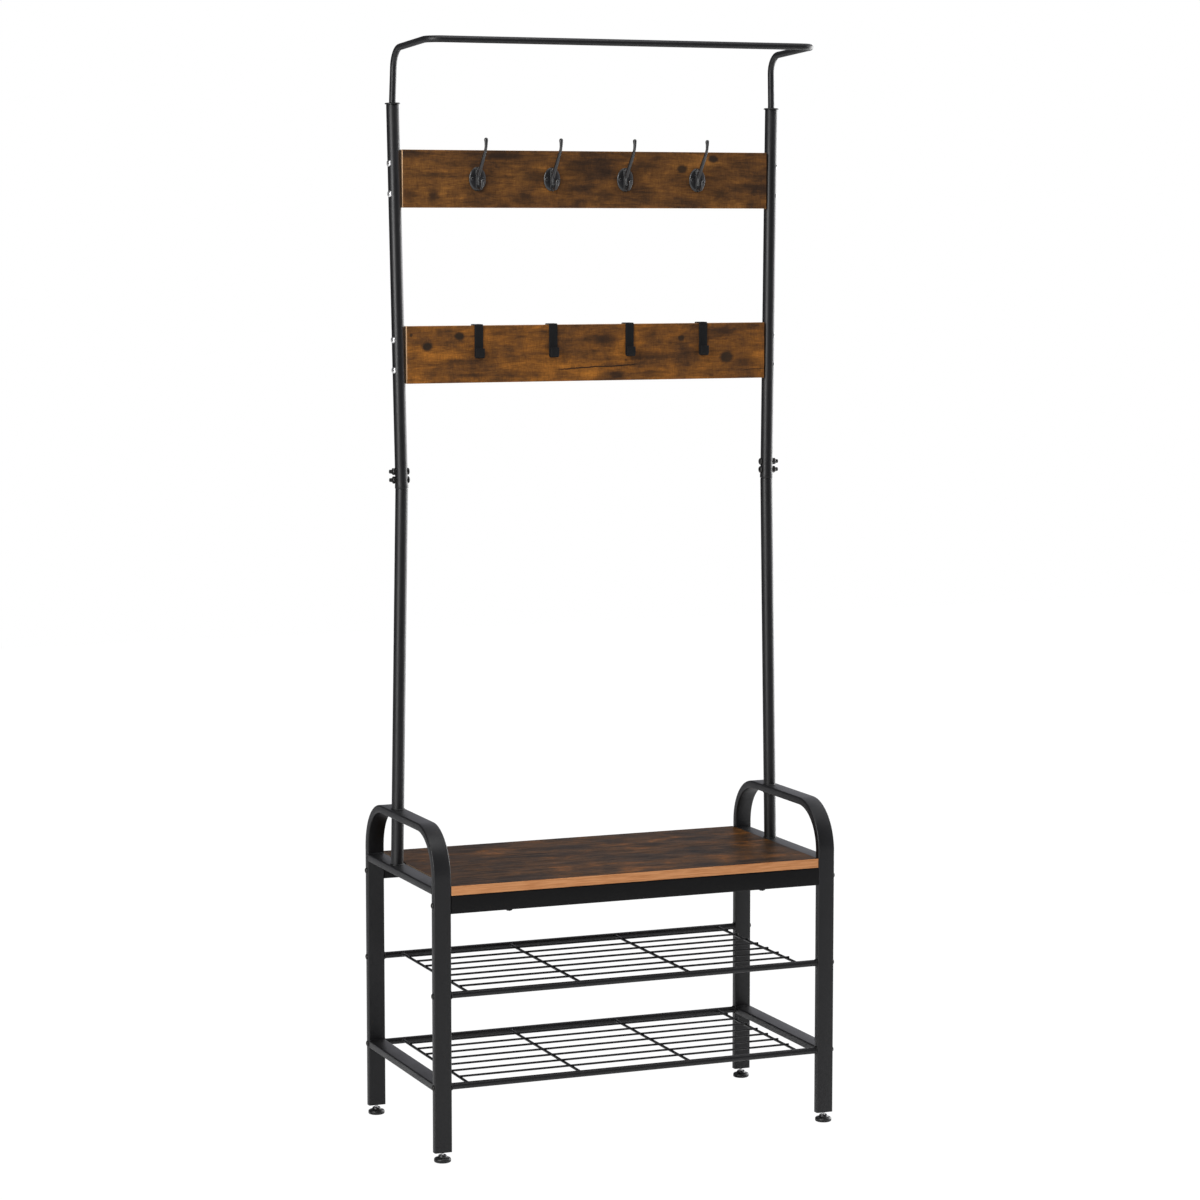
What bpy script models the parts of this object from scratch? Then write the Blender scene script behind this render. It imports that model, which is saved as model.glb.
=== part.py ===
"""Hall tree with hooks: a bench with two wire shelves, hook boards and a hanging rail on a tube frame.

Metres, +Z up, the front towards -Y. The origin is on the floor, midway between the four feet.
"""

import math

import bmesh
import bpy
from mathutils import Matrix, Vector

# Frame
WIDTH = 0.720  # over the outer faces of the two side frames
DEPTH = 0.350  # over the outer faces of the front and back legs
LEG_BOTTOM = 0.016  # the leg ends stand this far above the floor, on their feet
ARCH_TOP = 0.549  # top of the side frames, above the seat
TUBE_WIDE = 0.030
TUBE_THICK = 0.013
TUBE_WALL = 0.0012
TUBE_CORNER = 0.0025
ARCH_BEND = 0.0755  # centre-line radius of the arch's two bends
GAP = 0.0003  # between touching pieces

# Seat
SEAT_TOP = 0.456
SEAT_THICK = 0.0157
SEAT_RAIL_TALL = 0.030
SEAT_SIDE_RAIL_TOP = 0.455

# Shelves
SHELF_LEVELS = {"mid": 0.2755, "low": 0.124}  # centre heights of the shelf rails
SHELF_RAIL_DIA = 0.011
CROSS_WIRE_DIA = 0.004
LONG_WIRE_DIA = 0.003
CROSS_WIRE_X = (-0.297, -0.099, 0.099, 0.297)
LONG_WIRES = 7
LONG_WIRE_PITCH = 0.042
LONG_WIRE_PAST = 0.0025  # the long wires run this far past the end cross wires

# Posts
POST_DIA = 0.021
POST_WALL = 0.0012
POST_FOOT = Vector((0.345, 0.0505, SEAT_SIDE_RAIL_TOP + GAP))
POST_JOINT = Vector((0.3335, 0.049, 1.086))
POST_TOP = Vector((0.3427, 0.057, 1.718))
JOINT_GAP = 0.0008  # the two sections lean different ways, so their square ends need this much
SLEEVE_REACH = 0.045  # each way from the joint
JOINT_BOLT_LEVELS = {"upper": 1.115, "lower": 1.101}
JOINT_BOLT_DIA = 0.006

# Hanging rail
RAIL_DIA = 0.011
RAIL_WALL = 0.001
RAIL_BEND = 0.030  # where it turns forward above a post
RAIL_CORNER = 0.025
RAIL_FRONT = -0.119  # centre line of the front bar
RAIL_TOP = 1.816
RAIL_STRAIGHT = 0.006  # it follows the post's lean this far above the collar
RAIL_SHOULDER = Vector((0.3412, 0.0555))  # where the bend forward starts, seen from above
RAIL_RISE = 0.0075  # the arms rise this much towards the front
COLLAR_DIA = 0.0255
COLLAR_FLANGE = 0.0025
COLLAR_REACH = 0.022

# Hook boards and hooks
BOARD_TALL = 0.095
BOARD_THICK = 0.015
BOARD_LEVELS = {"upper": 1.597, "lower": 1.3075}
BOARD_AHEAD = 0.0095  # front face ahead of the posts' centre line
COAT_HOOK_X = (-0.199, -0.0663, 0.0663, 0.199)
STRAP_HOOK_X = (-0.199, -0.066, 0.073, 0.209)
STRAP_WIDE = 0.015
STRAP_THICK = 0.0018
STRAP_BOTTOM = 1.3005
STRAP_LIP = 0.0165
STRAP_THROAT = 0.0062
STRAP_BACK = 0.028

# Feet
PAD_DIA = 0.028
PAD_TALL = 0.0115
STEM_DIA = 0.006
STEM_LONG = 0.032
PLUG_TALL = 0.018

SIDES = {"left": -1, "right": 1}
ENDS = {"front": -1, "back": 1}
LEG_X = (WIDTH - TUBE_WIDE) / 2
LEG_Y = (DEPTH - TUBE_THICK) / 2
INNER_X = WIDTH / 2 - TUBE_WIDE


def clear_scene():
    for obj in list(bpy.data.objects):
        bpy.data.objects.remove(obj, do_unlink=True)


def make_material(name, color, roughness, metallic):
    material = bpy.data.materials.new(name)
    material.use_nodes = True
    shader = material.node_tree.nodes["Principled BSDF"]
    shader.inputs["Base Color"].default_value = (*color, 1)
    shader.inputs["Roughness"].default_value = roughness
    shader.inputs["Metallic"].default_value = metallic
    return material


def add_object(name, mesh, material):
    if material.name not in mesh.materials:
        mesh.materials.append(material)
    mesh.shade_smooth()
    mesh.set_sharp_from_angle(angle=math.radians(35))
    obj = bpy.data.objects.new(name, mesh)
    bpy.context.scene.collection.objects.link(obj)
    return obj


def mesh_of(name, bm):
    bmesh.ops.recalc_face_normals(bm, faces=bm.faces)
    mesh = bpy.data.meshes.new(name)
    bm.to_mesh(mesh)
    bm.free()
    return mesh


def circle(radius, sides):
    """Points of a round section, counter-clockwise."""
    turns = [2 * math.pi * (i + 0.5) / sides for i in range(sides)]
    return [(radius * math.cos(a), radius * math.sin(a)) for a in turns]


def rounded_rectangle(wide, tall, corner, steps=3):
    """Points of a rectangular section with round corners, counter-clockwise."""
    points = []
    for quarter, (sx, sy) in enumerate(((1, 1), (-1, 1), (-1, -1), (1, -1))):
        for i in range(steps):
            a = math.pi / 2 * (quarter + i / (steps - 1))
            x = sx * (wide / 2 - corner) + corner * math.cos(a)
            y = sy * (tall / 2 - corner) + corner * math.sin(a)
            points.append((x, y))
    return points


def arc(centre, start, end, steps):
    """Points of the quarter turn about centre from centre + start to centre + end, both ends included."""
    turns = [math.pi / 2 * i / steps for i in range(steps + 1)]
    return [centre + start * math.cos(a) + end * math.sin(a) for a in turns]


def sweep(bm, path, section, side, bore=None, sizes=None):
    """Carries a section along the path and caps its ends. A bore section makes it a tube."""
    steps = [(b - a).normalized() for a, b in zip(path, path[1:])]
    tangents = [steps[0]]
    tangents += [(a + b).normalized() for a, b in zip(steps, steps[1:])]
    tangents.append(steps[-1])
    sizes = sizes or [1] * len(path)
    rings = []
    bores = []
    u = Vector(side)
    for point, t, size in zip(path, tangents, sizes):
        u = (u - t * u.dot(t)).normalized()
        v = t.cross(u)
        rings.append([bm.verts.new(point + (u * x + v * y) * size) for x, y in section])
        if bore:
            bores.append([bm.verts.new(point + u * x + v * y) for x, y in bore])
    count = len(section)
    for skin in (rings, bores):
        for a, b in zip(skin, skin[1:]):
            for i in range(count):
                j = (i + 1) % count
                bm.faces.new((a[i], a[j], b[j], b[i]))
    for end in (0, -1):
        if not bore:
            bm.faces.new(rings[end])
            continue
        for i in range(count):
            j = (i + 1) % count
            bm.faces.new((rings[end][i], rings[end][j], bores[end][j], bores[end][i]))


def swept(name, material, path, section, side, bore=None, sizes=None):
    bm = bmesh.new()
    sweep(bm, path, section, side, bore, sizes)
    return add_object(name, mesh_of(name, bm), material)


def turned_mesh(name, profile, sides):
    """A mesh turned about Z from (radius, height) points that start and end on the axis."""
    bm = bmesh.new()
    verts = [bm.verts.new((r, 0, z)) for r, z in profile]
    edges = [bm.edges.new(pair) for pair in zip(verts, verts[1:])]
    bmesh.ops.spin(
        bm, geom=verts + edges, axis=(0, 0, 1), cent=(0, 0, 0), steps=sides, angle=2 * math.pi
    )
    bmesh.ops.remove_doubles(bm, verts=bm.verts, dist=1e-6)
    return mesh_of(name, bm)


def box_object(name, material, low, high, bevel):
    low, high = Vector(low), Vector(high)
    bm = bmesh.new()
    bmesh.ops.create_cube(bm, size=1)
    bmesh.ops.scale(bm, vec=high - low, verts=bm.verts)
    obj = add_object(name, mesh_of(name, bm), material)
    obj.location = (low + high) / 2
    edge = obj.modifiers.new("rounded_edges", "BEVEL")
    edge.width = bevel
    edge.segments = 2
    return obj


def helper(obj):
    obj.hide_render = True
    obj.display_type = "WIRE"
    return obj


def boolean(obj, other, operation):
    step = obj.modifiers.new(operation.lower(), "BOOLEAN")
    step.operation = operation
    step.object = helper(other)


def baked(obj, helpers):
    """The object's mesh with its modifiers applied. The object and its helpers are removed."""
    graph = bpy.context.evaluated_depsgraph_get()
    mesh = bpy.data.meshes.new_from_object(obj.evaluated_get(graph))
    for old in [obj, *helpers]:
        bpy.data.objects.remove(old, do_unlink=True)
    return mesh


def mirrored(point, sign):
    return Vector((sign * point.x, point.y, point.z))


def post_axis(level, sign):
    """The point of a post's centre line at this height."""
    low, high = (POST_FOOT, POST_JOINT) if level < POST_JOINT.z else (POST_JOINT, POST_TOP)
    return mirrored(low.lerp(high, (level - low.z) / (high.z - low.z)), sign)


def make_side_frames(steel):
    section = rounded_rectangle(TUBE_WIDE, TUBE_THICK, TUBE_CORNER)
    wall = 2 * TUBE_WALL
    bore = rounded_rectangle(TUBE_WIDE - wall, TUBE_THICK - wall, TUBE_CORNER - TUBE_WALL)
    for side, sign in SIDES.items():
        x = sign * LEG_X
        bend_z = ARCH_TOP - TUBE_THICK / 2 - ARCH_BEND
        bend_y = LEG_Y - ARCH_BEND
        forward, up = Vector((0, -ARCH_BEND, 0)), Vector((0, 0, ARCH_BEND))
        path = [Vector((x, -LEG_Y, LEG_BOTTOM))]
        path += arc(Vector((x, -bend_y, bend_z)), forward, up, 8)
        path += arc(Vector((x, bend_y, bend_z)), up, -forward, 8)
        path.append(Vector((x, LEG_Y, LEG_BOTTOM)))
        frame = swept(f"side_frame_{side}", steel, path, section, (1, 0, 0), bore)
        ends = [post_axis(z, sign) for z in (ARCH_TOP - 0.03, ARCH_TOP + 0.02)]
        hole = circle(POST_DIA / 2 + GAP, 20)
        cutter = swept(f"post_hole_cutter_{side}", steel, ends, hole, (0, 1, 0))
        boolean(frame, cutter, "DIFFERENCE")
        for name, top in (("seat", SEAT_SIDE_RAIL_TOP), ("lower", SHELF_LEVELS["low"] + TUBE_THICK / 2)):
            reach = LEG_Y - TUBE_THICK / 2 - GAP
            z = top - TUBE_THICK / 2
            ends = [Vector((x, -reach, z)), Vector((x, reach, z))]
            swept(f"{name}_side_rail_{side}", steel, ends, section, (1, 0, 0), bore)


def make_seat(steel, wood):
    section = rounded_rectangle(TUBE_THICK, SEAT_RAIL_TALL, TUBE_CORNER)
    wall = 2 * TUBE_WALL
    bore = rounded_rectangle(TUBE_THICK - wall, SEAT_RAIL_TALL - wall, TUBE_CORNER - TUBE_WALL)
    top = SEAT_TOP - SEAT_THICK
    for end, sign in ENDS.items():
        z = top - GAP - SEAT_RAIL_TALL / 2
        reach = INNER_X - GAP
        ends = [Vector((-reach, sign * LEG_Y, z)), Vector((reach, sign * LEG_Y, z))]
        swept(f"seat_rail_{end}", steel, ends, section, (0, 1, 0), bore)
    low = (-INNER_X + GAP, -DEPTH / 2, top)
    high = (INNER_X - GAP, DEPTH / 2, SEAT_TOP)
    box_object("seat_board", wood, low, high, 0.0006)


def make_shelves(steel):
    for level, z in SHELF_LEVELS.items():
        for end, sign in ENDS.items():
            reach = INNER_X - GAP
            ends = [Vector((-reach, sign * LEG_Y, z)), Vector((reach, sign * LEG_Y, z))]
            outside, inside = circle(SHELF_RAIL_DIA / 2, 14), circle(SHELF_RAIL_DIA / 2 - 0.001, 14)
            swept(f"{level}_shelf_rail_{end}", steel, ends, outside, (0, 1, 0), inside)
        cross_z = z + 0.001
        long_z = cross_z + (CROSS_WIRE_DIA + LONG_WIRE_DIA) / 2 - 0.0006
        cross_reach = LEG_Y - SHELF_RAIL_DIA / 2 - GAP
        crosses, longs = bmesh.new(), bmesh.new()
        for x in CROSS_WIRE_X:
            ends = [Vector((x, -cross_reach, cross_z)), Vector((x, cross_reach, cross_z))]
            sweep(crosses, ends, circle(CROSS_WIRE_DIA / 2, 8), (1, 0, 0))
        for i in range(LONG_WIRES):
            y = (i - (LONG_WIRES - 1) / 2) * LONG_WIRE_PITCH
            reach = CROSS_WIRE_X[-1] + LONG_WIRE_PAST
            ends = [Vector((-reach, y, long_z)), Vector((reach, y, long_z))]
            sweep(longs, ends, circle(LONG_WIRE_DIA / 2, 6), (0, 1, 0))
        grid = add_object(f"{level}_shelf_grid", mesh_of("cross_wires", crosses), steel)
        boolean(grid, add_object(f"{level}_long_wires", mesh_of("long_wires", longs), steel), "UNION")


def make_posts(steel):
    outside, inside = circle(POST_DIA / 2, 18), circle(POST_DIA / 2 - POST_WALL, 18)
    neck = POST_DIA / 2 - POST_WALL - GAP
    neck_outside, neck_inside = circle(neck, 18), circle(neck - POST_WALL, 18)
    for side, sign in SIDES.items():
        foot, joint, top = (mirrored(p, sign) for p in (POST_FOOT, POST_JOINT, POST_TOP))
        swept(f"lower_post_{side}", steel, [foot, joint], outside, (0, 1, 0), inside)
        start = post_axis(POST_JOINT.z + JOINT_GAP, sign)
        upper = swept(f"upper_post_{side}", steel, [start, top], outside, (0, 1, 0), inside)
        low, high = (post_axis(POST_JOINT.z + d, sign) for d in (-SLEEVE_REACH, SLEEVE_REACH))
        path = [low, joint, high]
        sleeve = swept(f"post_sleeve_{side}", steel, path, neck_outside, (0, 1, 0), neck_inside)
        for name, level in JOINT_BOLT_LEVELS.items():
            centre = post_axis(level, sign)
            across = Vector((sign * POST_DIA, 0, 0))
            hole = circle(JOINT_BOLT_DIA / 2 + GAP, 12)
            ends = [centre - across, centre + across]
            cutter = swept(f"bolt_hole_cutter_{side}_{name}", steel, ends, hole, (0, 0, 1))
            for tube in (upper, sleeve):
                boolean(tube, cutter, "DIFFERENCE")
            make_joint_bolt(f"post_joint_bolt_{side}_{name}", steel, centre, sign)


def make_joint_bolt(name, steel, centre, sign):
    """A domed screw from the inner side of the post to a nut on its outer side."""
    shank = JOINT_BOLT_DIA / 2
    seat = POST_DIA / 2 + GAP
    head, nut, nut_thick, thread_end = 0.0058, 0.0056, 0.0045, 0.0205
    profile = [(0, -seat - 0.0036), (head * 0.55, -seat - 0.0031), (head, -seat - 0.0012), (head, -seat)]
    profile += [(shank, -seat), (shank, seat), (nut, seat), (nut, seat + nut_thick)]
    profile += [(shank, seat + nut_thick), (shank, thread_end), (0, thread_end)]
    bolt = add_object(name, turned_mesh(name, profile, 12), steel)
    bolt.rotation_euler = (0, sign * math.pi / 2, 0)
    bolt.location = centre


def make_hanging_rail(steel, plastic):
    leaning = (POST_TOP - POST_JOINT).normalized()
    collar_bore = RAIL_DIA / 2 + GAP
    plug = POST_DIA / 2 - POST_WALL - GAP
    profile_z = (-COLLAR_REACH, GAP, GAP + COLLAR_FLANGE)
    for side, sign in SIDES.items():
        bm = bmesh.new()
        axis = mirrored(leaning, sign)
        top = mirrored(POST_TOP, sign)
        path = [top + axis * z for z in (profile_z[0], profile_z[1] - 0.0001, profile_z[1], profile_z[2])]
        wide = COLLAR_DIA / 2 / plug
        sizes = [1, 1, wide, wide]
        sweep(bm, path, circle(plug, 18), (0, 1, 0), circle(collar_bore, 18), sizes)
        add_object(f"post_collar_{side}", mesh_of("collar", bm), plastic)
    straight_end = POST_TOP + leaning * RAIL_STRAIGHT
    shoulder = Vector((*RAIL_SHOULDER, RAIL_TOP - RAIL_RISE - RAIL_BEND))
    rising = (shoulder - straight_end).normalized()
    forward = Vector((0, RAIL_FRONT - shoulder.y, RAIL_RISE)).normalized()
    path = [POST_TOP - leaning * (COLLAR_REACH - 0.004), straight_end]
    path += arc(shoulder + forward * RAIL_BEND, -forward * RAIL_BEND, rising * RAIL_BEND, 6)
    corner = Vector((path[-1].x - RAIL_CORNER, RAIL_FRONT + RAIL_CORNER, RAIL_TOP))
    path += arc(corner, Vector((RAIL_CORNER, 0, 0)), Vector((0, -RAIL_CORNER, 0)), 6)
    path += [mirrored(p, -1) for p in reversed(path)]
    outside, inside = circle(RAIL_DIA / 2, 12), circle(RAIL_DIA / 2 - RAIL_WALL, 12)
    swept("hanging_rail", steel, path, outside, (1, 0, 0), inside)


def board_front(level):
    return post_axis(BOARD_LEVELS[level], 1).y - BOARD_AHEAD


def make_boards(wood):
    for level, z in BOARD_LEVELS.items():
        low_end = post_axis(z - BOARD_TALL / 2, 1)
        reach = low_end.x - POST_DIA / 2 - GAP
        front = board_front(level)
        low = (-reach, front, z - BOARD_TALL / 2)
        high = (reach, front + BOARD_THICK, z + BOARD_TALL / 2)
        box_object(f"{level}_hook_board", wood, low, high, 0.0006)


def smooth_path(points, steps):
    """A smooth curve through the points."""
    ends = [points[0] * 2 - points[1], *points, points[-1] * 2 - points[-2]]
    path = []
    for a, b, c, d in zip(ends, ends[1:], ends[2:], ends[3:]):
        for i in range(steps):
            t = i / steps
            bend = (2 * a - 5 * b + 4 * c - d) * t * t + (3 * b - a - 3 * c + d) * t**3
            path.append((2 * b + (c - a) * t + bend) / 2)
    return path + [points[-1]]


def prong(name, steel, points, radii, wide=1.0):
    """A bar of changing thickness from the back plate to a round tip."""
    path = smooth_path([Vector((0, y, z)) for y, z in points], 3)
    stops = len(radii) - 1
    sizes = []
    for i in range(len(path)):
        at = i / (len(path) - 1) * stops
        low = min(int(at), stops - 1)
        sizes.append(radii[low] + (radii[low + 1] - radii[low]) * (at - low))
    section = [(x * wide, y) for x, y in circle(1, 10)]
    return swept(name, steel, path, section, (1, 0, 0), sizes=sizes)


def make_coat_hooks(steel):
    """Cast double hooks: an oval back plate with a long upper prong and a short lower one."""
    plate_path = [Vector((0, y, 0)) for y in (0, -0.0028, -0.0042)]
    plate_oval = [(x * 0.0148, z * 0.0198) for x, z in circle(1, 20)]
    plate = swept("coat_hook_plate", steel, plate_path, plate_oval, (1, 0, 0), sizes=[1, 1, 0.86])
    upper_points = [(-0.0025, 0.004), (-0.008, 0.0075), (-0.0185, 0.0205), (-0.0315, 0.036)]
    upper_points += [(-0.041, 0.049), (-0.043, 0.058), (-0.0428, 0.067)]
    upper = prong("upper_prong", steel, upper_points, [0.005, 0.0038, 0.0032, 0.0028, 0.0023, 0.0031, 0.0014])
    lower_points = [(-0.0025, -0.011), (-0.009, -0.0135), (-0.0165, -0.015), (-0.0225, -0.010), (-0.0245, -0.0005)]
    lower = prong("lower_prong", steel, lower_points, [0.0044, 0.0038, 0.0032, 0.0028, 0.0036, 0.0014])
    boolean(plate, upper, "UNION")
    boolean(plate, lower, "UNION")
    mesh = baked(plate, [upper, lower])
    for number, x in enumerate(COAT_HOOK_X, 1):
        hook = add_object(f"coat_hook_{number}", mesh, steel)
        hook.location = (x, board_front("upper") - GAP, BOARD_LEVELS["upper"])


def make_strap_hooks(steel):
    """Flat steel hooks bent over the lower board. They slide along it."""
    top = BOARD_TALL / 2 + GAP + STRAP_THICK / 2
    front = -GAP - STRAP_THICK / 2
    back = BOARD_THICK + GAP + STRAP_THICK / 2
    turn = (STRAP_THROAT + STRAP_THICK) / 2
    bottom = STRAP_BOTTOM + STRAP_THICK / 2 - BOARD_LEVELS["lower"]
    path = [Vector((0, back, top - STRAP_BACK)), Vector((0, back, top))]
    path += [Vector((0, front, top)), Vector((0, front, bottom + turn))]
    down, ahead = Vector((0, 0, -turn)), Vector((0, -turn, 0))
    path += arc(Vector((0, front - turn, bottom + turn)), -ahead, down, 4)[1:]
    path += arc(Vector((0, front - turn, bottom + turn)), down, ahead, 4)[1:]
    path.append(Vector((0, front - 2 * turn, bottom + STRAP_LIP)))
    mesh = strip_mesh("strap_hook", path, STRAP_WIDE, STRAP_THICK)
    for number, x in enumerate(STRAP_HOOK_X, 1):
        hook = add_object(f"strap_hook_{number}", mesh, steel)
        hook.location = (x, board_front("lower"), BOARD_LEVELS["lower"])


def strip_mesh(name, path, wide, thick):
    """A flat strip along a path in the YZ plane, square at its corners."""
    steps = [(b - a).normalized() for a, b in zip(path, path[1:])]
    across = [Vector((0, -s.z, s.y)) for s in steps]
    normals = [across[0]]
    normals += [(a + b) / (1 + a.dot(b)) for a, b in zip(across, across[1:])]
    normals.append(across[-1])
    bm = bmesh.new()
    rings = []
    for point, normal in zip(path, normals):
        shift, half = normal * thick / 2, Vector((wide / 2, 0, 0))
        corners = (point + shift - half, point + shift + half, point - shift + half, point - shift - half)
        rings.append([bm.verts.new(c) for c in corners])
    for a, b in zip(rings, rings[1:]):
        for i in range(4):
            bm.faces.new((a[i], a[i - 3], b[i - 3], b[i]))
    bm.faces.new(rings[0])
    bm.faces.new(rings[-1])
    return mesh_of(name, bm)


def make_feet(plastic, zinc):
    """Levelling feet: a threaded stem turns in the plug of each leg and stands in a domed pad."""
    socket, floor = STEM_DIA / 2 + GAP, 0.006
    rim = PAD_DIA / 2
    pad_profile = [(0, 0), (rim - 0.001, 0), (rim, 0.001), (rim, 0.003), (rim * 0.88, 0.0066)]
    pad_profile += [(rim * 0.64, 0.0097), (rim * 0.42, PAD_TALL), (socket, PAD_TALL), (socket, floor), (0, floor)]
    pad_mesh = turned_mesh("foot_pad", pad_profile, 20)
    start, end = floor + GAP, floor + GAP + STEM_LONG
    stem_profile = [(0, start), (STEM_DIA / 2, start), (STEM_DIA / 2, end - 0.0008)]
    stem_profile += [(STEM_DIA / 2 - 0.0008, end), (0, end)]
    stem_mesh = turned_mesh("foot_stem", stem_profile, 12)
    wall = 2 * (TUBE_WALL + GAP)
    corner = TUBE_CORNER - TUBE_WALL
    plug_path = [Vector((0, 0, LEG_BOTTOM)), Vector((0, 0, LEG_BOTTOM + PLUG_TALL))]
    hole_path = [Vector((0, 0, LEG_BOTTOM - 0.01)), Vector((0, 0, LEG_BOTTOM + PLUG_TALL + 0.01))]
    section = rounded_rectangle(TUBE_WIDE - wall, TUBE_THICK - wall, corner)
    plug = swept("leg_plug", plastic, plug_path, section, (1, 0, 0))
    hole = swept("leg_plug_hole", plastic, hole_path, circle(socket, 12), (1, 0, 0))
    boolean(plug, hole, "DIFFERENCE")
    plug_mesh = baked(plug, [hole])
    pieces = (("foot_pad", pad_mesh, plastic), ("foot_stem", stem_mesh, zinc), ("leg_plug", plug_mesh, plastic))
    for end_name, end_sign in ENDS.items():
        for side, sign in SIDES.items():
            for name, mesh, material in pieces:
                foot = add_object(f"{name}_{end_name}_{side}", mesh, material)
                foot.location = (sign * LEG_X, end_sign * LEG_Y, 0)


def main():
    clear_scene()
    steel = make_material("black_steel", (0.018, 0.018, 0.02), 0.45, 0.3)
    wood = make_material("rustic_board", (0.16, 0.075, 0.03), 0.5, 0.0)
    plastic = make_material("black_plastic", (0.012, 0.012, 0.012), 0.5, 0.0)
    zinc = make_material("zinc", (0.6, 0.6, 0.58), 0.3, 1.0)
    make_side_frames(steel)
    make_seat(steel, wood)
    make_shelves(steel)
    make_posts(steel)
    make_hanging_rail(steel, plastic)
    make_boards(wood)
    make_coat_hooks(steel)
    make_strap_hooks(steel)
    make_feet(plastic, zinc)


main()
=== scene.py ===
"""The looks of the hall tree with hooks: its pieces in detail, its materials, the light and the camera."""

import math

import bmesh
import bpy
from mathutils import Matrix, Vector, noise


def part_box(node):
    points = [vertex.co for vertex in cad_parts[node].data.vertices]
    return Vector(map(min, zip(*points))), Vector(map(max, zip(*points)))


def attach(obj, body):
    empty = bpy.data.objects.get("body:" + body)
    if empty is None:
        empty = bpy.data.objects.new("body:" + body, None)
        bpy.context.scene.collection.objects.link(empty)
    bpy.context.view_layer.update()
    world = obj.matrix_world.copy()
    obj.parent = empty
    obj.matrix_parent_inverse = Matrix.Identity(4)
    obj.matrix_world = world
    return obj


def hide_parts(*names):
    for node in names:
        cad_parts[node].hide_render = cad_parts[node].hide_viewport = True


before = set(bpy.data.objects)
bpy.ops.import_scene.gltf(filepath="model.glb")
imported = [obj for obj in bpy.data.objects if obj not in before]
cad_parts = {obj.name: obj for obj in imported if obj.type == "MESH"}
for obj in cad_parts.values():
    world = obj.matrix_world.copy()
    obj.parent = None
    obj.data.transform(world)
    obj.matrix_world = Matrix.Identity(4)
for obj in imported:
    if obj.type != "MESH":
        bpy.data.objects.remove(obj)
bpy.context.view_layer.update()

# Camera
CAMERA_AT = (-2.2024, -5.375, 1.5113)
CAMERA_TURN = -22.300  # degrees about the vertical, from looking along +Y
CAMERA_TILT = -6.087  # degrees above the horizontal
CAMERA_LENS = 103.80
CAMERA_SENSOR = 36.0

# Frame, in metres, as in the CAD
TUBE_WIDE = 0.030
TUBE_THICK = 0.013
TUBE_WALL = 0.0012
TUBE_CORNER = 0.0025
ARCH_BEND = 0.0755
LEG_X = 0.345
LEG_Y = 0.1685
POST_DIA = 0.021
POST_WALL = 0.0012
POST_FOOT = Vector((0.345, 0.0505, 0.4553))
POST_JOINT = Vector((0.3335, 0.049, 1.086))
POST_TOP = Vector((0.3427, 0.057, 1.718))
POST_BELL = 0.0007  # the upper section's lower end is this much wider
JOINT_GAP = 0.0008
JOINT_BOLT_LEVELS = {"upper": 1.115, "lower": 1.101}

# Hanging rail
RAIL_DIA = 0.011
RAIL_BEND = 0.030
RAIL_CORNER = 0.025
RAIL_FRONT = -0.119
RAIL_TOP = 1.816
RAIL_RISE = 0.0075
RAIL_STRAIGHT = 0.006
RAIL_SHOULDER = Vector((0.3412, 0.0555))
COLLAR_DIA = 0.0255
COLLAR_REACH = 0.022

# Shelves
CROSS_WIRE_DIA = 0.004
LONG_WIRE_DIA = 0.003
CROSS_WIRE_X = (-0.297, -0.099, 0.099, 0.297)
LONG_WIRES = 7
LONG_WIRE_PITCH = 0.042
LONG_WIRE_PAST = 0.0025
WIRE_SINK = 0.0006  # the welds press the wires this far into each other
WIRE_EXTRA = 0.0003  # how much more radius the wires have here than in the CAD

# Fasteners
FRAME_BOLT_LEVELS = (0.425, 0.2755, 0.124)
BOARD_BOLT_SPREAD = 0.025
SEAT_SCREW_X = 0.2275

# Hooks
STRAP_WIDE = 0.015
STRAP_THICK = 0.0018
STRAP_LIP = 0.0165
STRAP_THROAT = 0.0062
STRAP_BACK = 0.028
GAP = 0.0003  # clearance where one piece rests on another

# The prints of the boards and the seat. Tones are (place in the ramp, red, green, blue) with colours
# from 0 to 255. Stains and knots are (x, across, half length, half height, strength) in metres, and
# cracks are (first x, last x, across at the first, across at the last, half width, strength).
UPPER_TONES = (
    (0.36, 46, 33, 26), (0.45, 74, 50, 30), (0.54, 105, 69, 34), (0.66, 146, 98, 46),
)
UPPER_STAINS = (
    (-0.275, 1.603, 0.034, 0.006, 0.65), (-0.277, 1.568, 0.010, 0.014, 0.8),
    (-0.318, 1.571, 0.022, 0.016, 0.6), (-0.160, 1.637, 0.030, 0.010, 0.8),
    (-0.098, 1.603, 0.034, 0.015, 0.7), (-0.115, 1.566, 0.022, 0.009, 0.75),
    (-0.020, 1.619, 0.045, 0.016, 0.55), (0.030, 1.573, 0.024, 0.010, 0.6),
    (0.100, 1.620, 0.030, 0.008, 0.55), (0.243, 1.571, 0.018, 0.010, 0.65),
    (0.300, 1.584, 0.030, 0.008, 0.55), (-0.190, 1.585, 0.012, 0.008, 0.6),
)
UPPER_KNOTS = (
    (0.172, 1.616, 0.0095, 0.0075, 0.9), (0.229, 1.633, 0.0095, 0.0065, 0.9),
)
UPPER_CRACKS = (
    (-0.272, -0.160, 1.600, 1.603, 0.0004, 0.45),
)
LOWER_TONES = (
    (0.36, 60, 41, 28), (0.44, 94, 61, 31), (0.53, 128, 81, 33), (0.66, 172, 110, 42),
)
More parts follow.
